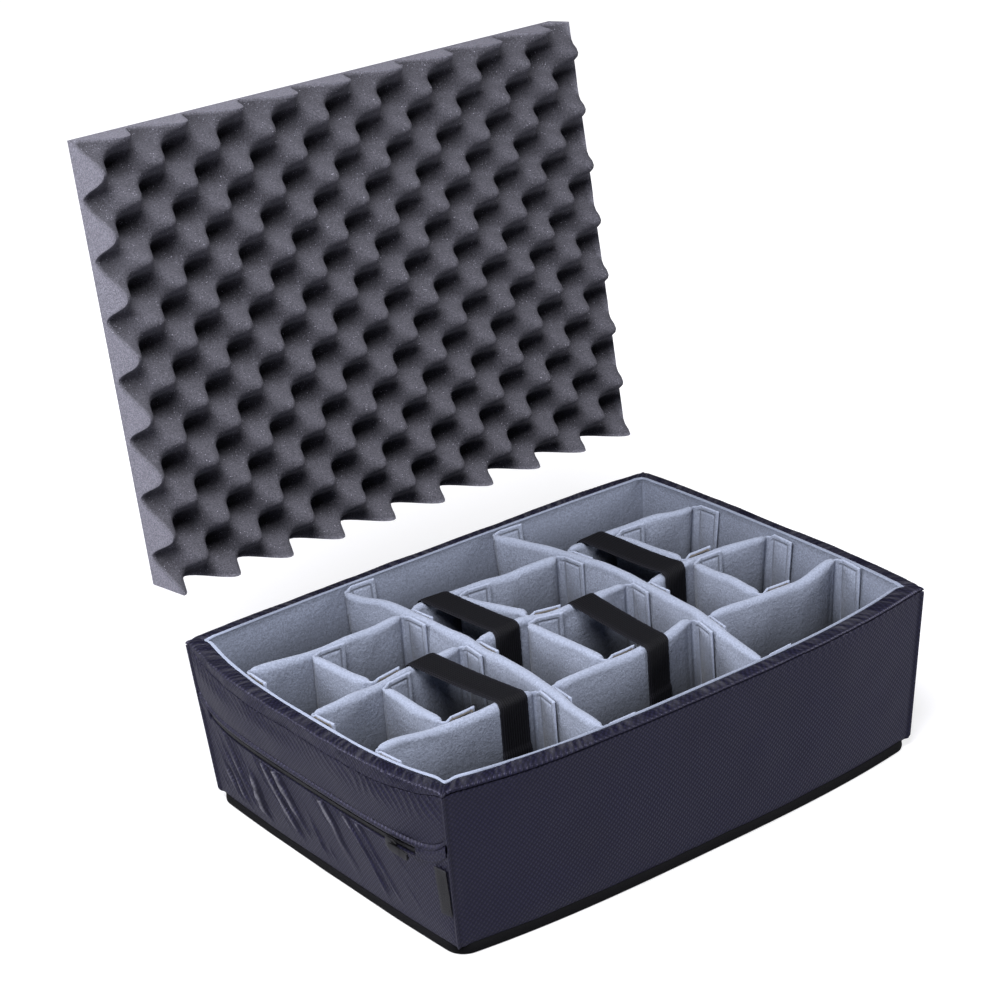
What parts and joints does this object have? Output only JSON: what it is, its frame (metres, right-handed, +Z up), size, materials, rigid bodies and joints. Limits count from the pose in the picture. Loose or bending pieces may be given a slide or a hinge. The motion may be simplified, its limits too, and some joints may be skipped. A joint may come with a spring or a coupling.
{
  "type": "camera bag insert",
  "caption": "Padded camera bag insert with a zipped end, stick-in dividers held by webbing straps, and a convoluted foam for the lid.",
  "frame": {"origin": "middle of the flat base, on the surface that the insert stands on", "axes": "+X along the long sides, away from the zipped end; +Y to the back, where the lid foam stands; +Z up"},
  "size_m": [0.4791, 0.4412, 0.5218],
  "materials": {
    "nylon": "woven nylon with a fine box weave, dull",
    "base_cloth": "black bonded cloth",
    "wall_foam": "closed-cell foam board",
    "lining": "brushed loop cloth, pale blue grey",
    "divider_cloth": "brushed loop cloth, pale blue grey",
    "divider_core": "closed-cell foam board",
    "webbing": "ribbed black webbing",
    "pad_foam": "open-cell convoluted foam, dark grey",
    "zip_chain": "black tape and coil",
    "zip_metal": "black enamelled metal",
    "label": "blank black woven label"
  },
  "bodies": {
    "box": {"cover_front": "nylon", "cover_back": "nylon", "cover_right": "nylon", "cover_left_upper": "nylon", "cover_left_lower": "nylon", "base_cloth": "base_cloth", "foam_board_front": "wall_foam", "foam_board_back": "wall_foam", "foam_board_left": "wall_foam", "foam_board_right": "wall_foam", "base_board": "wall_foam", "lining_tub": "lining", "zip_chain": "zip_chain", "side_label": "label"},
    "zip_slider": {"zip_slider": "zip_metal"},
    "zip_pull": {"zip_pull": "zip_metal"},
    "lid": {"lid_foam": "pad_foam"},
    "long_divider_left": {"long_divider_left_sleeve": "divider_cloth", "long_divider_left_core": "divider_core"},
    "long_divider_right": {"long_divider_right_sleeve": "divider_cloth", "long_divider_right_core": "divider_core"},
    "cross_divider_left_back": {"cross_divider_left_back_sleeve": "divider_cloth", "cross_divider_left_back_core": "divider_core"},
    "cross_divider_left_middle": {"cross_divider_left_middle_sleeve": "divider_cloth", "cross_divider_left_middle_core": "divider_core", "strap_left_anchor": "webbing"},
    "cross_divider_left_front": {"cross_divider_left_front_sleeve": "divider_cloth", "cross_divider_left_front_core": "divider_core"},
    "cross_divider_middle_back": {"cross_divider_middle_back_sleeve": "divider_cloth", "cross_divider_middle_back_core": "divider_core", "strap_middle_back_anchor": "webbing"},
    "cross_divider_middle_middle": {"cross_divider_middle_middle_sleeve": "divider_cloth", "cross_divider_middle_middle_core": "divider_core", "strap_middle_front_anchor": "webbing"},
    "cross_divider_middle_front": {"cross_divider_middle_front_sleeve": "divider_cloth", "cross_divider_middle_front_core": "divider_core"},
    "cross_divider_right_back": {"cross_divider_right_back_sleeve": "divider_cloth", "cross_divider_right_back_core": "divider_core", "strap_right_anchor": "webbing"},
    "cross_divider_right_middle": {"cross_divider_right_middle_sleeve": "divider_cloth", "cross_divider_right_middle_core": "divider_core"},
    "cross_divider_right_front": {"cross_divider_right_front_sleeve": "divider_cloth", "cross_divider_right_front_core": "divider_core"},
    "short_divider_left_back": {"short_divider_left_back_sleeve": "divider_cloth", "short_divider_left_back_core": "divider_core"},
    "short_divider_left_front": {"short_divider_left_front_sleeve": "divider_cloth", "short_divider_left_front_core": "divider_core"},
    "short_divider_middle_back": {"short_divider_middle_back_sleeve": "divider_cloth", "short_divider_middle_back_core": "divider_core"},
    "short_divider_middle_front": {"short_divider_middle_front_sleeve": "divider_cloth", "short_divider_middle_front_core": "divider_core"},
    "short_divider_right_back": {"short_divider_right_back_sleeve": "divider_cloth", "short_divider_right_back_core": "divider_core"},
    "short_divider_right_front": {"short_divider_right_front_sleeve": "divider_cloth", "short_divider_right_front_core": "divider_core"},
    "strap_left": {"strap_left": "webbing"},
    "strap_middle_back": {"strap_middle_back": "webbing"},
    "strap_middle_front": {"strap_middle_front": "webbing"},
    "strap_right": {"strap_right": "webbing"}
  },
  "joints": [
    {"name": "lid_fold", "type": "hinge", "parent": "box", "child": "lid", "pos_m": [0, 0.18736, 0.15952], "axis": [-1, 0, 0], "range_deg": [-97.3, 0]},
    {"name": "zip_run", "type": "slide", "parent": "box", "child": "zip_slider", "axis": [0, 1, 0], "range_m": [0, 0.21]},
    {"name": "pull_swing", "type": "hinge", "parent": "zip_slider", "child": "zip_pull", "pos_m": [-0.2366, -0.105, 0.077], "axis": [0, 0, -1], "range_deg": [0, 150]},
    {"name": "lift_long_divider_left", "type": "slide", "parent": "box", "child": "long_divider_left", "axis": [0, 0, 1], "range_m": [0, 0.14]},
    {"name": "lift_long_divider_right", "type": "slide", "parent": "box", "child": "long_divider_right", "axis": [0, 0, 1], "range_m": [0, 0.14]},
    {"name": "lift_cross_divider_left_back", "type": "slide", "parent": "box", "child": "cross_divider_left_back", "axis": [0, 0, 1], "range_m": [0, 0.14]},
    {"name": "lift_cross_divider_left_middle", "type": "slide", "parent": "box", "child": "cross_divider_left_middle", "axis": [0, 0, 1], "range_m": [0, 0.14]},
    {"name": "lift_cross_divider_left_front", "type": "slide", "parent": "box", "child": "cross_divider_left_front", "axis": [0, 0, 1], "range_m": [0, 0.14]},
    {"name": "lift_cross_divider_middle_back", "type": "slide", "parent": "box", "child": "cross_divider_middle_back", "axis": [0, 0, 1], "range_m": [0, 0.14]},
    {"name": "lift_cross_divider_middle_middle", "type": "slide", "parent": "box", "child": "cross_divider_middle_middle", "axis": [0, 0, 1], "range_m": [0, 0.14]},
    {"name": "lift_cross_divider_middle_front", "type": "slide", "parent": "box", "child": "cross_divider_middle_front", "axis": [0, 0, 1], "range_m": [0, 0.14]},
    {"name": "lift_cross_divider_right_back", "type": "slide", "parent": "box", "child": "cross_divider_right_back", "axis": [0, 0, 1], "range_m": [0, 0.14]},
    {"name": "lift_cross_divider_right_middle", "type": "slide", "parent": "box", "child": "cross_divider_right_middle", "axis": [0, 0, 1], "range_m": [0, 0.14]},
    {"name": "lift_cross_divider_right_front", "type": "slide", "parent": "box", "child": "cross_divider_right_front", "axis": [0, 0, 1], "range_m": [0, 0.14]},
    {"name": "lift_short_divider_left_back", "type": "slide", "parent": "box", "child": "short_divider_left_back", "axis": [0, 0, 1], "range_m": [0, 0.14]},
    {"name": "lift_short_divider_left_front", "type": "slide", "parent": "box", "child": "short_divider_left_front", "axis": [0, 0, 1], "range_m": [0, 0.14]},
    {"name": "lift_short_divider_middle_back", "type": "slide", "parent": "box", "child": "short_divider_middle_back", "axis": [0, 0, 1], "range_m": [0, 0.14]},
    {"name": "lift_short_divider_middle_front", "type": "slide", "parent": "box", "child": "short_divider_middle_front", "axis": [0, 0, 1], "range_m": [0, 0.14]},
    {"name": "lift_short_divider_right_back", "type": "slide", "parent": "box", "child": "short_divider_right_back", "axis": [0, 0, 1], "range_m": [0, 0.14]},
    {"name": "lift_short_divider_right_front", "type": "slide", "parent": "box", "child": "short_divider_right_front", "axis": [0, 0, 1], "range_m": [0, 0.14]},
    {"name": "peel_strap_left", "type": "hinge", "parent": "cross_divider_left_middle", "child": "strap_left", "pos_m": [-0.11391, 0.01529, 0.1361], "axis": [-1, 0, 0], "range_deg": [0, 110]},
    {"name": "peel_strap_middle_back", "type": "hinge", "parent": "cross_divider_middle_back", "child": "strap_middle_back", "pos_m": [-0.04257, 0.09799, 0.1361], "axis": [-1, 0, 0], "range_deg": [0, 110]},
    {"name": "peel_strap_middle_front", "type": "hinge", "parent": "cross_divider_middle_middle", "child": "strap_middle_front", "pos_m": [0.03664, 0.01104, 0.1361], "axis": [-1, 0, 0], "range_deg": [0, 110]},
    {"name": "peel_strap_right", "type": "hinge", "parent": "cross_divider_right_back", "child": "strap_right", "pos_m": [0.11661, 0.0973, 0.1361], "axis": [-1, 0, 0], "range_deg": [0, 110]}
  ],
  "couplings": [
    {"joint": "lift_cross_divider_left_front", "follows": "lift_cross_divider_left_middle", "ratio": 1},
    {"joint": "lift_cross_divider_middle_middle", "follows": "lift_cross_divider_middle_back", "ratio": 1},
    {"joint": "lift_cross_divider_middle_front", "follows": "lift_cross_divider_middle_back", "ratio": 1},
    {"joint": "lift_cross_divider_right_middle", "follows": "lift_cross_divider_right_back", "ratio": 1}
  ]
}
